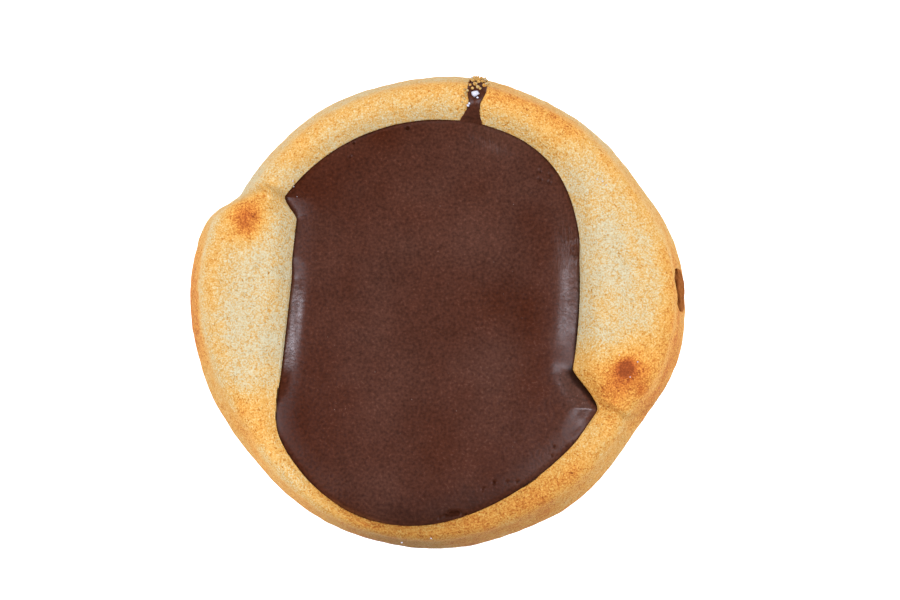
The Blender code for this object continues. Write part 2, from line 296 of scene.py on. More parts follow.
def bell(value, middle, spread):
    """1 at middle, falling to about a third at spread from it."""
    return np.exp(-(((value - middle) / spread) ** 2))


def flat_direction(direction):
    """The level unit vector in each direction."""
    turn = np.radians(direction)
    return np.stack((np.cos(turn), np.sin(turn), np.zeros_like(turn)), axis=-1)


def noise(points, size, seed):
    """Smooth random values from -1 to 1: a lattice of random values, size apart, is
    blended in each cell with smoothstep weights along all three axes."""
    table = np.random.default_rng(seed).uniform(-1.0, 1.0, 4096)
    cell = np.floor(points / size).astype(np.int64)
    part = points / size - cell
    part = part * part * (3.0 - 2.0 * part)
    total = np.zeros(points.shape[:-1])
    for corner in itertools.product((0, 1), repeat=3):
        place = cell + corner
        key = place[..., 0] * 73856093 ^ place[..., 1] * 19349663 ^ place[..., 2] * 83492791
        weight = np.prod(np.where(np.array(corner) == 1, part, 1.0 - part), axis=-1)
        total += table[key % 4096] * weight
    return total


def layered_noise(points, size, seed, layers=3):
    """Noise summed over layers, each half the size and half the strength of the last."""
    return sum(noise(points, size / 2**k, seed + k) / 2**k for k in range(layers)) / 1.75


def along(strand, direction):
    """A strand's share of its full bulge: a quick rise past its start, then a slow fall."""
    run = (direction - strand.start) % 360.0
    grown = 1.0 - np.exp(-((run / strand.rise) ** 2))
    return grown / (1.0 + (run / strand.fall) ** 4)


def foot_distance(direction):
    """The rim's foot: a round with a slight oval, small waves and each strand's bulge."""
    oval = RIM_OVAL * np.cos(np.radians(2.0 * (direction - RIM_OVAL_DIRECTION)))
    waves = sum(
        size * np.cos(np.radians(count * (direction - peak)))
        for count, size, peak in RIM_WAVES
    )
    bulges = sum(strand.bulge * along(strand, direction) for strand in STRANDS)
    return RIM_RADIUS + oval + waves + bulges


def pool_distance(direction):
    """The hollow's edge: a round with one lobe, cut straight where a strand pinches it,
    as the smooth least of the two distances."""
    past_lobe = turned(direction, POOL_LOBE_DIRECTION) / POOL_LOBE_SPREAD
    edge = POOL_RADIUS + POOL_LOBE * np.exp(-(past_lobe**2))
    edge = edge + POOL_SHIFT * np.cos(np.radians(direction - POOL_SHIFT_DIRECTION))
    for strand in STRANDS:
        facing = np.cos(np.radians(turned(direction, strand.side_direction)))
        straight = strand.side / np.maximum(facing, 0.05)
        power = -strand.corner
        pinched = (edge**power + straight**power) ** (1.0 / power)
        start = turned(direction, strand.notch) / strand.notch_width + 0.5
        edge = edge + (pinched - edge) * smooth(start)
    return edge


def crest_inset(width):
    """How far inward of its foot the rim is highest."""
    return np.minimum(LARGEST_CREST_INSET, CREST_SHARE * width)


def lean(width):
    """How far the outer wall leans inward from foot to shoulder."""
    return np.minimum(LARGEST_LEAN, LEAN_SHARE * crest_inset(width))


def offset_from(direction, distance, middle_direction, middle_distance):
    """How far a point is round the ring from a middle, and how far outward of it."""
    turn = np.radians(turned(direction, middle_direction))
    return distance * np.sin(turn), distance * np.cos(turn) - middle_distance


def head_relief(strand, direction, distance):
    """A strand's head: a step over the tail under it, its end half an oval, which fades
    along the strand, and a bell-shaped pulled tip."""
    forward, outward = offset_from(
        direction, distance, strand.head_direction, strand.head_distance
    )
    outward = outward * (1.0 - smooth(forward / strand.head_length))
    away = np.hypot(np.minimum(forward, 0.0) / strand.head_length, outward / strand.head_breadth)
    run = (direction - strand.start + 20.0) % 360.0
    fade = 1.0 / (1.0 + (run / (strand.fall + 20.0)) ** 4)
    step = strand.step * smooth((1.0 - away) * strand.head_length / STEP_SLOPE + 0.5) * fade
    beside_tip = offset_from(direction, distance, strand.tip_direction, strand.tip_distance)
    from_tip = np.hypot(*beside_tip) / strand.tip_radius
    return step + strand.tip_height * np.exp(-(from_tip**2))


def ribs(inset, width):
    """The nozzle's ribs: a cosine across the strand, only where it is wide."""
    wide = smooth((width - RIB_NARROWEST) / 3.0)
    inner = smooth((width - inset) / RIB_PITCH - 0.6)
    wave = np.cos(2.0 * np.pi * (inset - RIB_INSET) / RIB_PITCH) - 1.0
    return 0.5 * RIB_DEPTH * wave * wide * inner


def edge_line(count, beyond=0.0):
    """Points along the hollow's edge, or a little beyond it, in plan."""
    direction = crowded(count)
    return ((pool_distance(direction) + beyond)[:, None] * flat_direction(direction))[:, :2]


def distance_to_line(flat, line):
    """Distance in plan from each point to a closed line: the nearest of its points is
    found, and then the nearer of the two stretches that meet there."""
    near = np.concatenate(
        [
            ((part[:, None] - line[None]) ** 2).sum(axis=-1).argmin(axis=1)
            for part in np.array_split(flat.reshape(-1, 2), 80)
        ]
    )
    here = flat.reshape(-1, 2)
    best = np.full(len(here), np.inf)
    for start, end in ((near - 1, near), (near, (near + 1) % len(line))):
        run = line[end] - line[start]
        share = ((here - line[start]) * run).sum(axis=-1) / (run**2).sum(axis=-1)
        foot = line[start] + np.clip(share, 0.0, 1.0)[:, None] * run
        best = np.minimum(best, np.linalg.norm(here - foot, axis=-1))
    return best.reshape(flat.shape[:-1])


def plan(direction, distance):
    """Places in plan about the ring's own middle."""
    return (distance[..., None] * flat_direction(direction))[..., :2]


def head_away(strand, direction, distance):
    """How far beyond the oval of a head's end a point lies."""
    forward, outward = offset_from(
        direction, distance, strand.head_direction, strand.head_distance
    )
    behind = np.minimum(forward, 0.0) / strand.head_length
    outward = outward * (1.0 - smooth(forward / strand.head_length))
    return (np.hypot(behind, outward / strand.head_breadth) - 1.0) * strand.head_length


def creases(direction, distance):
    """The creases under the two heads' ends, from 0 to 1: bell-shaped across the oval."""
    total = 0.0
    for strand, beyond in zip(STRANDS, CREASES):
        away = head_away(strand, direction, distance)
        behind = smooth(-turned(direction, strand.head_direction) / 4.0)
        near = smooth((turned(direction, strand.head_direction) + 30.0) / 6.0)
        total = total + bell(away, beyond, CREASE_WIDTH) * behind * near
    return total


def groove(direction, inset):
    """The groove along the first strand's outer side, from 0 to 1: bell-shaped across."""
    run = smooth((direction - GROOVE_START) / 8.0) * smooth((GROOVE_END - direction) / 30.0 + 1.0)
    return run * bell(inset, GROOVE_INSET, GROOVE_WIDTH)


def dough_height(direction, distance):
    """The dough's top: a lip all along the hollow's edge, a parabola in section, that
    eases into the crest, with the relief of heads, ribs, creases and groove."""
    edge = pool_distance(direction)
    foot = foot_distance(direction)
    width = foot - edge
    to_crest = width - crest_inset(width)
    past_edge = distance_to_line(plan(direction, distance), edge_line(1440))
    lip = np.minimum(past_edge / np.minimum(LIP_WIDTH, to_crest), 1.0)
    rounded = 1.0 - (1.0 - lip) ** 2
    share = LIP_SHARE * rounded + (1.0 - LIP_SHARE) * smooth(past_edge / to_crest)
    crest = RIM_HEIGHT + RIM_TILT * np.cos(np.radians(direction - RIM_TILT_DIRECTION))
    crest = crest + sum(head_relief(s, direction, distance) for s in STRANDS)
    relief = ribs(foot - distance, width) - CREASE_DEPTH * creases(direction, distance)
    return SEAT_HEIGHT + (crest - SEAT_HEIGHT) * share + relief * rounded


def outline_centre():
    """The middle of the box round the rim's foot, which the origin is under."""
    turn = np.arange(360.0)
    points = foot_distance(turn)[:, None] * flat_direction(turn)
    return (points.max(axis=0) + points.min(axis=0)) / 2.0


CENTRE = outline_centre()


def crowded(count):
    """Directions all the way round, closer together near the two heads."""
    direction = np.arange(count) * 360.0 / count
    return direction - 0.5 * CROWDING * np.sin(np.radians(2 * (direction - CROWDED_DIRECTION)))


def from_polar(direction, distance, height):
    """Points in millimetres about the origin, from a direction, distance and height."""
    points = distance[..., None] * flat_direction(direction) - CENTRE
    points[..., 2] = height
    return points


def normals_of(points):
    """Unit normals of a grid of rings and steps that closes round its steps: the cross
    product of its two slopes, taken from neighbours."""
    across = np.gradient(points, axis=0)
    around = (np.roll(points, -1, axis=1) - np.roll(points, 1, axis=1)) * 0.5
    normal = np.cross(across, around)
    length = np.linalg.norm(normal, axis=-1, keepdims=True)
    return normal / np.maximum(length, 1e-9)


def capped_grid(name, points, attributes, material):
    """A closed mesh from a grid of rings and steps, whose first and last rings have
    shrunk to a pole each: one point and a fan of triangles."""
    rings, steps = points.shape[:2]
    body = points[1:-1].reshape(-1, 3)
    verts = np.vstack((points[0, :1], body, points[-1, :1]))
    ring = 1 + np.arange(rings - 3)[:, None] * steps
    step = np.arange(steps)[None, :]
    after = (step + 1) % steps
    quads = np.stack((ring + step, ring + steps + step, ring + steps + after, ring + after), -1)
    step = step[0]
    after = after[0]
    last = len(verts) - 1
    base = 1 + (rings - 3) * steps
    top_fan = np.stack((np.zeros(steps, int), 1 + step, 1 + after), -1)
    low_fan = np.stack((np.full(steps, last), base + after, base + step), -1)
    faces = quads.reshape(-1, 4).tolist() + top_fan.tolist() + low_fan.tolist()
    values = {
        key: np.concatenate((field[0, :1], field[1:-1].ravel(), field[-1, :1]))
        for key, field in attributes.items()
    }
    return add_piece(name, verts, faces, values, material)


def add_piece(name, verts, faces, attributes, material):
    """An object from points in millimetres, with its own values at each point."""
    mesh = bpy.data.meshes.new(name)
    mesh.from_pydata((verts * MM).tolist(), [], faces)
    mesh.update()
    for key, values in attributes.items():
        layer = mesh.attributes.new(key, "FLOAT", "POINT")
        layer.data.foreach_set("value", np.asarray(values, np.float32))
    mesh.shade_smooth()
    mesh.materials.append(material)
    piece = bpy.data.objects.new(name, mesh)
    bpy.context.scene.collection.objects.link(piece)
    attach(piece, "root")
    return piece


def dough_rings(direction):
    """Distance and height of each ring of the dough, from the middle of the hollow's
    floor over the lip, crest, shoulder, wall and foot to the middle of the underside."""
    edge = pool_distance(direction)
    foot = foot_distance(direction)
    inset = crest_inset(foot - edge)
    crest = foot - inset
    seat = edge - SEAT_SLOPE
    level = np.zeros_like(edge)
    rings = [(seat * share, FLOOR + level) for share in (0.0, 0.5, 1.0)]
    for share, rise in ((0.5, 0.3), (0.85, 0.75)):
        rings.append((seat + SEAT_SLOPE * share, FLOOR + (SEAT_HEIGHT - FLOOR) * rise + level))
    top = edge + (crest - edge) * TOP_SHARES[:, None]
    rings += list(zip(top, dough_height(direction, top)))
    height = rings[-1][1]
    for turn in np.radians(np.linspace(0.0, 80.0, 15)[1:]):
        reach = (inset - lean(foot - edge)) * np.sin(turn)
        rings.append((crest + reach, height - SHOULDER_DROP * (1.0 - np.cos(turn))))
    shoulder, height = rings[-1]
    for share in np.linspace(0.0, 1.0, 26)[1:]:
        across = shoulder + (foot - shoulder) * share
        rings.append((across, height + (FOOT_RADIUS - height) * share))
    for turn in np.radians(np.linspace(0.0, 90.0, 10)[1:]):
        across = foot - FOOT_RADIUS * (1.0 - np.cos(turn))
        rings.append((across, FOOT_RADIUS * (1.0 - np.sin(turn)) + level))
    under = rings[-1][0]
    rings += [(under * share, level) for share in (0.9, 0.75, 0.5, 0.25, 0.0)]
    return tuple(np.array(values) for values in zip(*rings))


def lower_side(direction):
    """The darker baked side of the rim, from 0 to 1: a smooth window of directions."""
    return smooth((direction % 360.0 - 200.0) / 32.0) * smooth((352.0 - direction % 360.0) / 20.0)


def browning_of(direction, distance, points):
    """How browned the dough is, from 0 to 1: more on the outer band, the lower side, the
    pulled tips and patches, one of them painted shadow in a fold, and less beside the
    chocolate and where a strand is wide."""
    foot = foot_distance(direction)
    edge = pool_distance(direction)
    inset = foot - distance
    past_edge = distance - edge
    height = points[..., 2]
    lower = lower_side(direction)
    wide = smooth((foot - edge - 6.0) / 3.0)
    near = 1.0 - smooth(past_edge / 2.0)
    far_side = bell(turned(direction, 115.0), 0.0, 45.0)
    brown = 0.33 - 0.15 * wide + (0.20 + 0.15 * wide) * lower - 0.06 * near * (1.0 - lower)
    brown = brown + (0.15 - 0.06 * far_side) * bell(inset, 2.4, 1.4) * (1.0 - 0.5 * lower)
    brown = brown - 0.14 * groove(direction, inset)
    wall = wall_share(inset, height)
    left_side = bell(turned(direction, 182.0), 0.0, 26.0)
    lower_left = bell(turned(direction, 228.0), 0.0, 22.0)
    right_side = bell(turned(direction, 358.0), 0.0, 26.0)
    brown = brown + wall * (0.26 * left_side + 0.27 * right_side - 0.12 * far_side)
    brown = brown + 0.16 * wall * lower_left
    for patch in BROWNING_AND_SHADOW_PATCHES:
        round_ring, outward = offset_from(direction, distance, patch.direction, patch.distance)
        away = np.hypot(round_ring / patch.along, outward / patch.across)
        brown = brown + patch.amount * np.exp(-(away**2))
    brown = brown + 0.14 * layered_noise(points, 4.0, 11) + 0.12 * layered_noise(points, 1.3, 15)
    return np.clip(brown, 0.0, 1.0)


def wall_share(inset, height):
    """1 on the outer wall and 0 on the top, with a smooth turn over the shoulder."""
    return smooth((6.8 - height) / 2.0) * smooth((3.4 - inset) / 1.0)


def toast_and_shade_of(direction, distance, height):
    """How much darker the baked skin is, up to 1: on the lower side and on the wall partly
    more baked and partly painted shade, in the creases painted shade, and a little
    below 0, so lighter, towards the lower left."""
    wall = wall_share(foot_distance(direction) - distance, height)
    # Painted shade, with some real toasting, on the lower side and the wall; painted shade in the
    # creases.
    low = 0.42 * bell(direction % 360.0, 262.0, 20.0) + 0.17 * bell(direction % 360.0, 294.0, 18.0)
    darkening = low * (1.0 + 0.25 * wall)
    darkening = darkening - 0.09 * bell(turned(direction, 226.0), 0.0, 20.0)
    return np.clip(darkening + 0.06 * wall + 0.12 * creases(direction, distance), -0.1, 1.0)


def make_dough(material):
    """The biscuit: rings of the dough's section in each direction, roughened along the
    normals by layered noise, and closed at its two poles."""
    direction = crowded(DOUGH_STEPS)
    distance, height = dough_rings(direction)
    points = from_polar(direction, distance, height)
    inset = foot_distance(direction) - distance
    seen = smooth((height - 0.15) / 0.8) * smooth((distance - pool_distance(direction) + 0.4) / 0.6)
    rough = 0.10 * layered_noise(points, 5.0, 3) + 0.05 * layered_noise(points, 1.1, 5, layers=2)
    rough = rough + 0.09 * layered_noise(points, 1.9, 7) * wall_share(inset, height)
    rough = rough - GROOVE_DEPTH * groove(direction, inset)
    points = points + normals_of(points) * (rough * seen)[..., None]
    values = {
        "browning": browning_of(direction, distance, points),
        "toast_and_shade": toast_and_shade_of(direction, distance, height),
    }
    piece = capped_grid("baked_dough", points, values, material)
    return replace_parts(piece, "biscuit")


def window(side, direction):
    """1 along a side and 0 away from it, with soft ends."""
    ends = min(10.0, side.half_width)
    return smooth((side.half_width - abs(turned(direction, side.direction))) / ends + 0.5)


def start_of(side, direction):
    """How far from the pool's edge a side starts, which changes evenly along it."""
    share = 0.5 + 0.5 * turned(direction, side.direction) / side.half_width
    share = np.clip(share, 0.0, 1.0)
    return side.first_start + (side.last_start - side.first_start) * share


def side_drop(direction, away):
    """How far the sloping sides have sunk: each falls evenly from its end to its start,
    with rounded ends."""
    total = 0.0
    for side in SIDES:
        inner = np.logaddexp(0.0, (side.end - away) / side.soft)
        outer = np.logaddexp(0.0, (start_of(side, direction) - away) / side.soft)
        total = total + side.slope * side.soft * (inner - outer) * window(side, direction)
    return total


def sheen_of(direction, away):
    """How much the chocolate shines, from 0 to 1: along its sloping sides, fading out
    before their ends."""
    total = 0.0
    for side in SIDES:
        turn = turned(direction, side.direction)
        band = smooth((away - start_of(side, direction)) / 0.3 + 0.5)
        band = band * smooth((side.end - away) / 1.1 + 0.7)
        fade = smooth((side.half_width - abs(turn)) / min(SHEEN_FADE, side.half_width))
        grown = 1.0 + side.gain * turn / side.half_width
        total = total + side.sheen * band * fade * np.maximum(grown, 0.0)
    return total


def at_drip(direction):
    """1 where the chocolate runs out over the rim, and 0 away from there."""
    return bell(turned(direction, DRIP_DIRECTION), 0.0, 3.5)


def pool_rings(direction):
    """Distance and height of each ring of the chocolate: nearly flat on top, sloping down
    over the last millimetres, then round its shoulder and under the dough's lip."""
    waves = layered_noise(23.0 * flat_direction(direction), 1.3, 31)
    outer = pool_distance(direction) + POOL_LAP + EDGE_WAVE * waves
    level = np.zeros_like(outer)
    round_edge = SHORE_WIDTH * np.cos(np.radians(np.linspace(5.0, 90.0, 18)))
    inward = np.concatenate((np.linspace(FINE_BAND, SHORE_WIDTH, 40)[:-1], round_edge))
    inside = (outer - FINE_BAND) * np.linspace(0.0, 0.97, 24)[:, None]
    distance = np.concatenate((inside, outer - inward[:, None]))
    away = distance_to_line(plan(direction, distance), edge_line(1440, POOL_LAP))
    ease = EASE_DROP * np.maximum(1.0 - away / EASE_WIDTH, 0.0) ** 2
    lap = np.maximum(1.0 - away / SHORE_WIDTH, 0.0)
    shore = SHORE_DROP * (1.0 - np.sqrt(np.maximum(1.0 - lap**2, 0.0)))
    sunk = (ease + shore) * (1.0 - 0.95 * at_drip(direction)) + side_drop(direction, away)
    height = CHOCOLATE_HEIGHT - sunk
    low = SEAT_HEIGHT - 1.5
    distance = np.vstack((distance, outer - 0.8, 0.9 * outer, 0.0 * outer))
    height = np.vstack((height, low + level, low - 0.2 + level, low - 0.2 + level))
    return distance, height, away


def away_of(away, distance):
    """Distance to the pool's edge for every ring, with none for those under the lip."""
    missing = distance.shape[0] - away.shape[0]
    return np.vstack((away, np.zeros((missing, distance.shape[1]))))


def bubbles(direction, distance):
    """The depth of the bubble holes at each point: a bell for each hole."""
    depth = 0.0
    for hole_direction, hole_distance, radius, deep in BUBBLES:
        beside = np.hypot(*offset_from(direction, distance, hole_direction, hole_distance))
        depth = depth + deep * np.exp(-((beside / radius) ** 4))
    return depth


def make_pool(material):
    """The chocolate pool: rings of its section in each direction, with slow swells, fine
    ripples along its sloping sides and bubble holes."""
    direction = crowded(POOL_STEPS)
    distance, height, away = pool_rings(direction)
    points = from_polar(direction, distance, height)
    normal = normals_of(points)
    top = smooth((height - 5.6) / 0.4)
    on_side = np.minimum(4.0 * sheen_of(direction, away_of(away, distance)), 1.0)
    swell = 0.025 * layered_noise(points, 7.0, 21)
    swell = swell + 0.022 * on_side * layered_noise(points, 1.6, 23)
    lift = (swell - bubbles(direction, distance)) * top
    points = points + normal * lift[..., None]
    values = chocolate_fields(direction, distance, away_of(away, distance), points)
    piece = capped_grid("chocolate_pool", points, values, material)
    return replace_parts(piece, "chocolate_filling")


def chocolate_fields(direction, distance, away, points):
    """Where the chocolate is bloomed with a painted sheen, thin, painted with shade, and
    scratched, and how shiny and dry.
    """
    across, deep = points[..., 0], points[..., 1]
    clear = bell(across, 12.0, 3.2) * smooth((14.0 - abs(deep)) / 5.0)
    # Bloom together with a broad painted sheen: less over the clear patch right of the middle, and
    # rising a little from left to right.
    bloom_and_painted_sheen = 0.55 - 0.5 * clear + 0.015 * across + 0.5 * layered_noise(points, 7.0, 41)
    lower_left = smooth((14.0 - abs(turned(direction, 248.0))) / 12.0)
    lap = smooth(1.0 - away / (0.30 + 0.45 * lower_left))
    left = smooth((24.0 - abs(turned(direction, 194.0))) / 10.0)
    thin = lap * (0.3 + 0.2 * lower_left + 0.3 * left + 0.4 * layered_noise(points, 1.2, 43))
    # Painted shade: a band along the edge, wider on the right and beside the right head, in the
    # holes, and darker towards the lower edge.
    beside_head = np.maximum(1.0 - (turned(direction, 331.8) / 5.0) ** 2, 0.0)
    right = smooth((22.0 - abs(turned(direction, -2.0))) / 10.0)
    band = 0.4 + 0.3 * right + 0.7 * beside_head
    painted_shade = 0.5 + 0.4 * np.maximum(right, smooth(2.0 * beside_head))
    painted_shade = painted_shade * smooth(1.6 - 1.2 * away / band)
    pits = smooth(bubbles(direction, distance) / 0.2)
    painted_shade = np.maximum(painted_shade * (1.0 - at_drip(direction)), 0.55 * pits)
    low = bell(turned(direction, 272.0), 0.0, 20.0) * bell(away, 1.0, 2.6)
    painted_shade = np.maximum(painted_shade, low * (0.44 + 0.20 * layered_noise(points, 1.4, 47)))
    streaks = noise(points * np.array((2.2, 0.35, 1.0)), 1.0, 45)
    sheen = sheen_of(direction, away) * (1.0 + 0.8 * streaks) - 0.18 * pits
    sheen = sheen - 0.09 * bell(turned(direction, 230.0), 0.0, 22.0) * bell(away, 1.4, 2.2)
    scratched = bell(direction % 360.0, 26.0, 10.0) * bell(away, 1.4, 1.4)
    scratched = scratched + 0.8 * bell(direction % 360.0, 71.0, 7.0) * bell(away, 1.5, 1.2)
    return {
        "bloom_and_painted_sheen": np.clip(bloom_and_painted_sheen, 0.0, 1.0),
        "thin": np.clip(thin, 0.0, 1.0) * (1.0 - smooth(2.0 * beside_head)),
        "painted_shade": np.clip(painted_shade, 0.0, 1.0),
        "scratched": np.clip(scratched, 0.0, 1.0),
        "sheen": np.clip(sheen, -0.2, 1.0),
        "dry": pits,
    }


def wall_line(direction):
    """The dough's profile from the hollow's edge outward, in one direction."""
    distance, height = dough_rings(np.array([direction]))
    edge = float(pool_distance(np.float64(direction)))
    outside = distance[:, 0] > edge + 0.3
    seen = outside & (height[:, 0] > FOOT_RADIUS)
    return np.stack((distance[seen, 0], height[seen, 0]), axis=1)


def evenly_spaced(line, count):
    """Points at even steps along a line, and the unit normals on its left side."""
    steps = np.linalg.norm(np.diff(line, axis=0), axis=1)
    reached = np.concatenate(([0.0], np.cumsum(steps)))
    places = np.linspace(0.0, reached[-1], count)
    points = np.stack([np.interp(places, reached, column) for column in line.T], axis=1)
    run = np.gradient(points, axis=0)
    run = run / np.linalg.norm(run, axis=1, keepdims=True)
    return points, np.stack((-run[:, 1], run[:, 0]), axis=1), places


def make_drip(material):
    """The drip: a low rounded strip on the dough's profile, wider where it leaves the
    pool and again over the crest and down the wall, closed at both ends."""
    edge = float(pool_distance(np.float64(DRIP_DIRECTION)))
    level = CHOCOLATE_HEIGHT - EASE_DROP - DRIP_SUNK
    wall = wall_line(DRIP_DIRECTION)
    start = [[edge - DRIP_START, level - 0.4], [edge - 0.7, level - 0.05]]
    line = np.vstack((start, wall[wall[:, 1] > DRIP_END_HEIGHT]))
    middle, normal, places = evenly_spaced(line, DRIP_LENGTHS)
    down = smooth((8.1 - middle[:, 1]) / 1.2) * smooth((places - DRIP_START - 2.0) / 1.5)
    share = np.linspace(-1.0, 1.0, DRIP_LENGTHS)
    closing = np.sqrt(np.maximum(1.0 - np.abs(share) ** 9, 0.0))
    past = np.maximum(places - DRIP_START, 0.0)
    ragged = layered_noise(np.stack((places, 0 * places, 0 * places), axis=1), 0.9, 51)
    half_width = DRIP_HALF_WIDTH + DRIP_FLARE * np.exp(-((past / DRIP_FLARE_LENGTH) ** 2))
    half_width = (half_width + 0.40 * smooth((past - 2.6) / 1.6) + 0.12 * ragged) * closing
    turn = np.linspace(0.0, 2.0 * np.pi, DRIP_STEPS, endpoint=False)
    across = np.cos(turn) * half_width[:, None]
    thickness = 0.08 + (DRIP_THICKNESS - 0.08) * smooth((places - DRIP_START + 0.6) / 2.0)
    above = np.where(np.sin(turn) > 0.0, thickness[:, None], 0.2) * np.sin(turn)
    above = above * closing[:, None]
    flat = middle[:, None, :] + normal[:, None, :] * above[..., None]
    points = flat[..., :1] * flat_direction(DRIP_DIRECTION) - CENTRE
    points = points - across[..., None] * flat_direction(DRIP_DIRECTION + 90.0)
    points[..., 2] = flat[..., 1]
    level_top = np.sin(turn)[None, :] * np.ones((DRIP_LENGTHS, 1))
    points = points + normals_of(points) * (0.03 * layered_noise(points, 0.9, 53))[..., None]
    values = {
        "bloom_and_painted_sheen": 0.5 + 0.3 * layered_noise(points, 1.5, 55),
        "thin": smooth((0.35 - level_top) / 0.35) * 0.6,
        "painted_shade": np.zeros_like(level_top),
        "scratched": np.zeros_like(level_top),
        "sheen": 0.05 - 0.22 * down[:, None] + 0.0 * level_top,
        "dry": down[:, None] + 0.0 * level_top,
    }
    piece = capped_grid("chocolate_drip", points, values, material)
    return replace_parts(piece, "chocolate_filling")


def make_smear(material):
    """A thin smear of chocolate on the outer wall: loops round its section, one for each
    direction, that follow the wall's lean and shrink to nothing at both ends."""
    direction = np.linspace(SMEAR_START, SMEAR_END, SMEAR_LENGTHS)
    foot = foot_distance(direction)
    share = np.linspace(-1.0, 1.0, SMEAR_LENGTHS)
    closing = np.sqrt(np.maximum(1.0 - np.abs(share) ** 5, 0.0))
    along_foot = 25.0 * flat_direction(direction)
    ragged = layered_noise(along_foot, 1.1, 61)
    turn = np.linspace(0.0, 2.0 * np.pi, SMEAR_STEPS, endpoint=False)
    reach = SMEAR_HALF_HEIGHT * (1.0 + 0.45 * ragged) * closing
    height = SMEAR_HEIGHT + np.cos(turn) * reach[:, None]
    thickness = 0.7 + 0.4 * share**2 + 0.5 * layered_noise(along_foot, 1.6, 63)
    above = np.where(np.sin(turn) > 0.0, SMEAR_THICKNESS, 0.2) * np.sin(turn)
    above = above * (thickness * closing)[:, None]
    wall = wall_line(0.5 * (SMEAR_START + SMEAR_END))
    middle_foot = foot_distance(0.5 * (SMEAR_START + SMEAR_END))
    inset = middle_foot - np.interp(height, wall[::-1, 1], wall[::-1, 0])
    distance = foot[:, None] - inset + above
    points = distance[..., None] * flat_direction(direction)[:, None, :] - CENTRE
    points[..., 2] = height
    top_edge = smooth((np.cos(turn)[None, :] - 0.3) / 0.5) * np.ones((SMEAR_LENGTHS, 1))
    thick = np.clip(0.65 * top_edge + 0.5 * layered_noise(points, 0.9, 65), 0.0, 1.0)
    return capped_grid("chocolate_smear", points, {"thick": thick}, material)


def lump(middle, radius, seed, squash=0.8, steps=9, rings=7):
    """A small irregular grain, as points and faces: a ball whose radius in each direction
    varies by noise."""
    rise = np.linspace(0.0, np.pi, rings)[1:-1, None]
    turn = np.arange(steps) * 2.0 * np.pi / steps
    ring = np.stack(
        (np.sin(rise) * np.cos(turn), np.sin(rise) * np.sin(turn), np.cos(rise) + 0.0 * turn), -1
    )
    ball = np.vstack(([[0.0, 0.0, 1.0]], ring.reshape(-1, 3), [[0.0, 0.0, -1.0]]))
    size = radius * (1.0 + 0.35 * noise(ball * 1.3 + seed * 7.3, 1.0, seed))
    points = middle + ball * size[:, None] * np.array((1.0, 1.0, squash))
    last = len(points) - 1
    faces = [(0, 1 + k, 1 + (k + 1) % steps) for k in range(steps)]
    for low in range(rings - 3):
        base = 1 + low * steps
        for k in range(steps):
            after = (k + 1) % steps
            faces.append((base + k, base + steps + k, base + steps + after, base + after))
    base = 1 + (rings - 3) * steps
    faces += [(last, base + (k + 1) % steps, base + k) for k in range(steps)]
    return points, faces


def joined(lumps):
    """Several grains as one list of points and one of faces."""
    points, faces, count = [], [], 0
    for grain_points, grain_faces in lumps:
        points.append(grain_points)
        faces += [tuple(index + count for index in face) for face in grain_faces]
        count += len(grain_points)
    return np.vstack(points), faces


def grain_place(direction, distance, lift):
    """A place at this lift off the dough or the chocolate, along its surface's normal."""
    direction = np.float64(direction)
    if distance < pool_distance(direction):
        return from_polar(direction, np.float64(distance), CHOCOLATE_HEIGHT - 0.05 + lift)
    line, normal, _ = evenly_spaced(wall_line(direction), 200)
    nearest = abs(line[:, 0] - distance).argmin()
    across, height = line[nearest] + normal[nearest] * lift
    return from_polar(direction, across, height)


def on_drip(outward, left, lift):
    """A place on the drip, some way outward along it and to its left. The drip is
    thickest along its middle, and beside it the place is on the dough."""
    turn = math.degrees(math.atan2(left, outward))
    cover = DRIP_THICKNESS * math.sqrt(max(1.0 - (left / DRIP_COVER) ** 2, 0.0))
    return grain_place(DRIP_DIRECTION + turn, math.hypot(outward, left), cover + lift)


def make_grains(crumb, sugar):
    """The crumbs on the drip, and the sugar crystals there and on the biscuit."""
    crumbs = [
        lump(on_drip(outward, left, 0.3 * radius), radius, 100 + k)
        for k, (outward, left, radius) in enumerate(DRIP_CRUMBS)
    ]
    crystals = [
        lump(on_drip(outward, left, 0.4 * radius), radius, 200 + k, 0.7, 7, 5)
        for k, (outward, left, radius) in enumerate(DRIP_SUGAR)
    ]
    crystals += [
        lump(grain_place(direction, distance, 0.3 * radius), radius, 300 + k, 0.8, 7, 5)
        for k, (direction, distance, radius) in enumerate(SUGAR_SPECKS)
    ]
    points, faces = joined(crumbs)
    browning = 0.38 + 0.25 * noise(points, 0.6, 91)
    amounts = {"browning": browning, "toast_and_shade": np.full(len(points), 0.12)}
    add_piece("drip_crumbs", points, faces, amounts, crumb)
    points, faces = joined(crystals)
    add_piece("sugar_crystals", points, faces, {}, sugar)


def node(tree, kind, values=None, **settings):
    """A shader node with its settings, and a value or a link for each input named."""
    made = tree.nodes.new(kind)
    for key, value in settings.items():
        setattr(made, key, value)
    for key, value in (values or {}).items():
        if isinstance(value, bpy.types.NodeSocket):
            tree.links.new(value, made.inputs[key])
        else:
            made.inputs[key].default_value = value
    return made


def math_node(tree, operation, *values):
    """The result of a Math node on values or links."""
    return node(tree, "ShaderNodeMath", dict(enumerate(values)), operation=operation).outputs[0]


def attribute(tree, name):
    """The mesh's own value of this name."""
    return node(tree, "ShaderNodeAttribute", attribute_name=name).outputs["Fac"]


def mix(tree, share, first, second):
    """Two colours blended by a share from 0 to 1."""
    values = {"Factor": share, 6: first, 7: second}
    return node(tree, "ShaderNodeMix", values, data_type="RGBA").outputs[2]


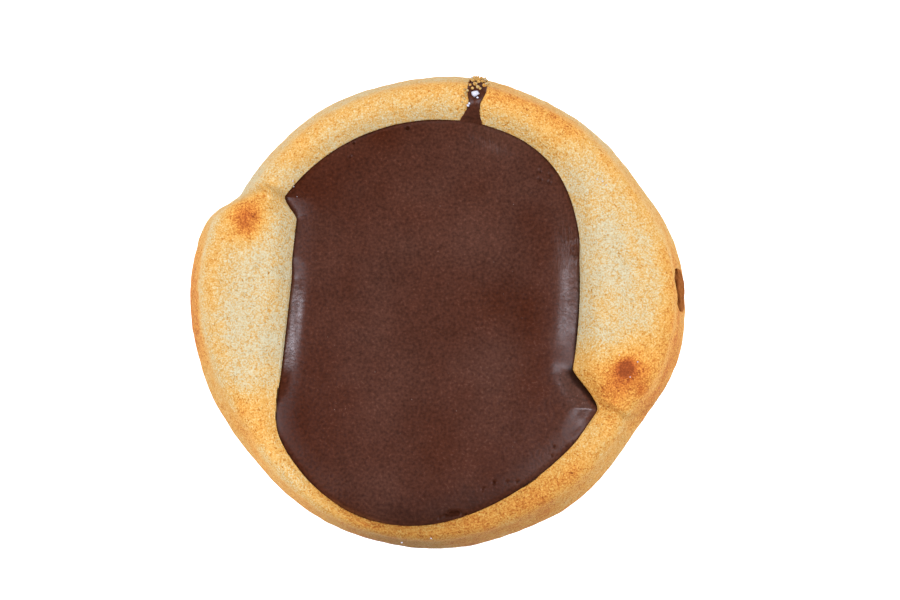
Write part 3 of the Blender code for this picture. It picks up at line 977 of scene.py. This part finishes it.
def spots(tree, place, scale, radius, share):
    """Soft round spots, 1 in their middles: in a share of the cells of a Voronoi
    texture, so many to the millimetre, and of this radius in millimetres."""
    cells = node(tree, "ShaderNodeTexVoronoi", {"Vector": place, "Scale": scale})
    chance = node(tree, "ShaderNodeSeparateColor", {"Color": cells.outputs["Color"]})
    chosen = math_node(tree, "LESS_THAN", chance.outputs[0], share)
    size = math_node(tree, "MULTIPLY_ADD", chance.outputs[1], radius * scale, 0.4 * radius * scale)
    near = math_node(tree, "DIVIDE", cells.outputs["Distance"], size)
    soft = node(
        tree, "ShaderNodeMapRange", {"Value": near, "From Min": 1.0, "From Max": 0.4},
        interpolation_type="SMOOTHSTEP",
    )
    return math_node(tree, "MULTIPLY", soft.outputs[0], chosen)


def new_group(name, outputs):
    """An empty shader node group that takes a place and gives the named values."""
    group = bpy.data.node_groups.new(name, "ShaderNodeTree")
    group.interface.new_socket("Place", in_out="INPUT", socket_type="NodeSocketVector")
    for output in outputs:
        group.interface.new_socket(output, in_out="OUTPUT", socket_type="NodeSocketFloat")
    return group, node(group, "NodeGroupInput").outputs["Place"], node(group, "NodeGroupOutput")


def crumb_group():
    """The open crumb of baked dough: its grain, its pores and its relief."""
    group, place, result = new_group("baked_crumb", ("Grain", "Pores", "Relief"))
    warp = node(group, "ShaderNodeTexNoise", {"Vector": place, "Scale": 3.0, "Detail": 1.0})
    shift = node(
        group, "ShaderNodeVectorMath",
        {0: warp.outputs["Color"], 1: (0.28, 0.28, 0.28), 2: place}, operation="MULTIPLY_ADD",
    ).outputs[0]
    coarse = node(group, "ShaderNodeTexNoise", {"Vector": place, "Scale": 1.6, "Detail": 2.0})
    fine = node(group, "ShaderNodeTexNoise", {"Vector": shift, "Scale": 6.0, "Detail": 2.0})
    granules = node(group, "ShaderNodeTexVoronoi", {"Vector": shift, "Scale": 3.8})
    grain = math_node(group, "MULTIPLY_ADD", coarse.outputs["Fac"], 0.3, -0.15)
    grain = math_node(group, "MULTIPLY_ADD", granules.outputs["Distance"], -0.4, grain)
    grain = math_node(group, "ADD", grain, 0.17)
    grain = math_node(group, "MULTIPLY_ADD", fine.outputs["Fac"], 1.1, grain)
    pores = math_node(
        group, "MAXIMUM", spots(group, shift, 1.6, 0.14, 0.4), spots(group, shift, 3.0, 0.10, 0.4)
    )
    relief = math_node(group, "MULTIPLY_ADD", granules.outputs["Distance"], -0.6, grain)
    relief = math_node(group, "SUBTRACT", relief, pores)
    for name, value in (("Grain", grain), ("Pores", pores), ("Relief", relief)):
        group.links.new(value, result.inputs[name])
    return group


def chocolate_group():
    """The surface of set chocolate: its tone, dust on it and its fine relief."""
    group, place, result = new_group("chocolate_surface", ("Tone", "Dust", "Relief"))
    cloud = node(group, "ShaderNodeTexNoise", {"Vector": place, "Scale": 0.14, "Detail": 4.0})
    fine = node(group, "ShaderNodeTexNoise", {"Vector": place, "Scale": 2.9, "Detail": 4.0})
    tone = math_node(group, "MULTIPLY_ADD", fine.outputs["Fac"], 1.6, -0.05)
    tone = math_node(group, "MULTIPLY_ADD", cloud.outputs["Fac"], 0.5, tone)
    dust = spots(group, place, 0.9, 0.06, 0.35)
    relief = math_node(group, "ADD", fine.outputs["Fac"], dust)
    for name, value in (("Tone", tone), ("Dust", dust), ("Relief", relief)):
        group.links.new(value, result.inputs[name])
    return group


def millimetres(tree):
    """Object coordinates in millimetres."""
    place = node(tree, "ShaderNodeTexCoord")
    return scaled(tree, place.outputs["Object"], 1.0 / MM)


def new_material(name, **values):
    """A material with the plain values of its Principled shader."""
    material = bpy.data.materials.new(name)
    material.use_nodes = True
    shader = material.node_tree.nodes["Principled BSDF"]
    for key, value in values.items():
        shader.inputs[key.replace("_", " ")].default_value = value
    return material, material.node_tree, shader


def ramp(tree, value, colours):
    """A colour from a value, by stops at named positions."""
    made = node(tree, "ShaderNodeValToRGB", {"Fac": value})
    stops = made.color_ramp.elements
    while len(stops) < len(colours):
        stops.new(0.5)
    for stop, (position, colour) in zip(stops, colours):
        stop.position = position
        stop.color = (*colour, 1.0)
    return made.outputs["Color"]


def scaled(tree, vector, factor):
    """A colour or a place with all its parts times a factor."""
    values = {0: vector, "Scale": factor}
    return node(tree, "ShaderNodeVectorMath", values, operation="SCALE").outputs[0]


def bumped(tree, shader, height, distance):
    """Relief of a height field, of this distance in millimetres, on a shader's normal."""
    bump = node(tree, "ShaderNodeBump", {"Distance": distance * MM, "Height": height})
    tree.links.new(bump.outputs[0], shader.inputs["Normal"])


def dough_material(crumb):
    """Baked dough: the browning on the mesh, varied by the grain, picks its colour, and
    the mesh's toasting and painted shade darken it.
    """
    material, tree, shader = new_material("baked_dough", Roughness=0.85, Metallic=0.0)
    shader.inputs["Specular IOR Level"].default_value = 0.1
    surface = node(tree, "ShaderNodeGroup", node_tree=crumb)
    tree.links.new(millimetres(tree), surface.inputs["Place"])
    grain, pores, relief = surface.outputs
    browning = attribute(tree, "browning")
    strength = math_node(tree, "MULTIPLY_ADD", browning, -1.1, 1.35)
    speckle = math_node(tree, "MULTIPLY_ADD", grain, -1.0, 0.515)
    brown = math_node(tree, "MULTIPLY_ADD", speckle, strength, browning)
    brown = math_node(tree, "MULTIPLY_ADD", pores, 0.14, brown)
    light = math_node(tree, "MULTIPLY_ADD", grain, 0.70, 0.605)
    light = math_node(tree, "MULTIPLY", light, math_node(tree, "MULTIPLY_ADD", pores, -0.08, 1.0))
    # Darkening from the mesh: more baked skin and painted shade on the lower side and wall, painted
    # shade in the creases.
    darkening = math_node(tree, "SUBTRACT", 1.0, attribute(tree, "toast_and_shade"))
    light = math_node(tree, "MULTIPLY", light, darkening)
    colour = scaled(tree, ramp(tree, brown, BROWNING_STOPS), light)
    tree.links.new(colour, shader.inputs["Base Color"])
    bumped(tree, shader, relief, 0.07)
    return material


def chocolate_material(chocolate):
    """Set chocolate: clear, bloomed with a painted sheen, or thin by the values on the mesh,
    darkened by painted shade, with scratches.
    """
    material, tree, shader = new_material("set_chocolate", Roughness=0.32, Metallic=0.0)
    shine = math_node(tree, "MULTIPLY_ADD", attribute(tree, "sheen"), 0.5, 0.085)
    tree.links.new(shine, shader.inputs["Specular IOR Level"])
    place = millimetres(tree)
    surface = node(tree, "ShaderNodeGroup", node_tree=chocolate)
    tree.links.new(place, surface.inputs["Place"])
    tone, dust, relief = surface.outputs
    colour = mix(
        tree, attribute(tree, "bloom_and_painted_sheen"), (*CLEAR_CHOCOLATE, 1.0), (*BLOOM_AND_SHEEN_CHOCOLATE, 1.0)
    )
    colour = mix(tree, attribute(tree, "thin"), colour, (*THIN_CHOCOLATE, 1.0))
    colour = mix(tree, math_node(tree, "MULTIPLY", dust, 0.35), colour, (*DUST_COLOUR, 1.0))
    # Painted shade from the mesh darkens the colour.
    shade = math_node(tree, "MULTIPLY_ADD", attribute(tree, "painted_shade"), -0.85, 1.0)
    shade = math_node(tree, "MULTIPLY", shade, tone)
    tree.links.new(scaled(tree, colour, shade), shader.inputs["Base Color"])
    rough = math_node(tree, "MULTIPLY_ADD", tone, 0.12, 0.12)
    rough = math_node(tree, "MULTIPLY_ADD", attribute(tree, "dry"), 0.5, rough)
    tree.links.new(rough, shader.inputs["Roughness"])
    strokes = node(
        tree, "ShaderNodeMapping",
        {"Vector": place, "Rotation": (0.0, 0.0, 0.7), "Scale": (4.0, 0.5, 1.0)},
    )
    lines = node(tree, "ShaderNodeTexNoise", {"Vector": strokes.outputs[0], "Scale": 1.2})
    marks = math_node(tree, "MULTIPLY", lines.outputs["Fac"], attribute(tree, "scratched"))
    height = math_node(tree, "MULTIPLY_ADD", marks, 8.0, math_node(tree, "MULTIPLY", relief, 0.5))
    bumped(tree, shader, height, 0.03)
    return material


def smear_material(chocolate):
    """A smear of chocolate so thin that it is brown, darker where it is thick."""
    material, tree, shader = new_material("chocolate_smear", Roughness=0.6, Metallic=0.0)
    shader.inputs["Specular IOR Level"].default_value = 0.0
    surface = node(tree, "ShaderNodeGroup", node_tree=chocolate)
    tree.links.new(millimetres(tree), surface.inputs["Place"])
    colour = mix(
        tree, attribute(tree, "thick"), (*THIN_CHOCOLATE, 1.0), (*CLEAR_CHOCOLATE, 1.0)
    )
    tree.links.new(scaled(tree, colour, surface.outputs["Tone"]), shader.inputs["Base Color"])
    bumped(tree, shader, surface.outputs["Relief"], 0.05)
    return material


def sugar_material():
    """Coarse sugar: pale grey and fairly shiny."""
    material, _, shader = new_material("sugar", Roughness=0.25, Metallic=0.0)
    shader.inputs["Base Color"].default_value = (*SUGAR_COLOUR, 1.0)
    return material


def area_light(name, place, aim, size, power, colour=(1.0, 1.0, 1.0), gloss=True):
    """A soft light at place, facing aim, both in metres. Without gloss it lights matt
    surfaces only, as a light behind a crossed filter does."""
    light = bpy.data.lights.new(name, "AREA")
    light.shape = "RECTANGLE"
    light.size, light.size_y = size
    light.energy = power
    light.color = colour
    lamp = bpy.data.objects.new(name, light)
    lamp.location = place
    lamp.visible_glossy = gloss
    lamp.rotation_euler = (Vector(aim) - Vector(place)).to_track_quat("-Z", "Y").to_euler()
    bpy.context.scene.collection.objects.link(lamp)


def make_set():
    """The floor, the light round it and the camera of the photograph."""
    scene = bpy.context.scene
    scene.view_settings.view_transform = "Standard"
    world = bpy.data.worlds.new("studio")
    scene.world = world
    world.use_nodes = True
    world.node_tree.nodes["Background"].inputs["Color"].default_value = (1.0, 0.99, 0.97, 1.0)
    world.node_tree.nodes["Background"].inputs["Strength"].default_value = 0.38
    mesh = bpy.data.meshes.new("floor")
    corners = [(-1, -1), (1, -1), (1, 1), (-1, 1)]
    places = [(FLOOR_HALF * x, FLOOR_HALF * y, 0.0) for x, y in corners]
    mesh.from_pydata(places, [], [(0, 1, 2, 3)])
    floor = bpy.data.objects.new("floor", mesh)
    pale, _, shader = new_material("pale_floor", Roughness=0.9)
    shader.inputs["Base Color"].default_value = (0.93, 0.93, 0.93, 1.0)
    shader.inputs["Emission Color"].default_value = (1.0, 1.0, 1.0, 1.0)
    shader.inputs["Emission Strength"].default_value = 0.6
    mesh.materials.append(pale)
    scene.collection.objects.link(floor)
    cool = (0.88, 0.88, 1.0)
    area_light("key", (0.05, 0.33, 0.75), (0, 0, 0), (0.5, 0.5), 2.2, gloss=False)
    area_light("back_strip", (0.0, 0.5, 0.5), (0, 0, 0), (0.5, 0.12), 0.6, cool)
    area_light("left_strip", (-0.38, 0.0, 0.5), (0, 0, 0), (0.12, 0.64), 4.1, cool)
    area_light("right_strip", (0.38, -0.04, 0.5), (0, 0, 0), (0.12, 0.72), 3.8, cool)
    camera = bpy.data.objects.new("camera", bpy.data.cameras.new("camera"))
    camera.data.lens = LENS
    camera.data.sensor_width = SENSOR
    view_width = PICTURE_WIDTH / PIXELS_PER_MM
    away = view_width * LENS / SENSOR
    tilt = math.radians(90.0 - ELEVATION)
    right = (PICTURE_MIDDLE[0] - BISCUIT_MIDDLE[0]) / PIXELS_PER_MM
    up = (BISCUIT_MIDDLE[1] - PICTURE_MIDDLE[1]) / PIXELS_PER_MM
    camera.location = (
        right * MM,
        (up * math.cos(tilt) - away * math.sin(tilt)) * MM,
        (FOOT_RADIUS + up * math.sin(tilt) + away * math.cos(tilt)) * MM,
    )
    camera.rotation_euler = (tilt, 0.0, 0.0)
    scene.collection.objects.link(camera)
    scene.camera = camera


def main():
    """Makes the biscuit and its set."""
    dough = dough_material(crumb_group())
    chocolate_surface = chocolate_group()
    chocolate = chocolate_material(chocolate_surface)
    make_dough(dough)
    make_pool(chocolate)
    make_drip(chocolate)
    make_smear(smear_material(chocolate_surface))
    make_grains(dough, sugar_material())
    make_set()


main()
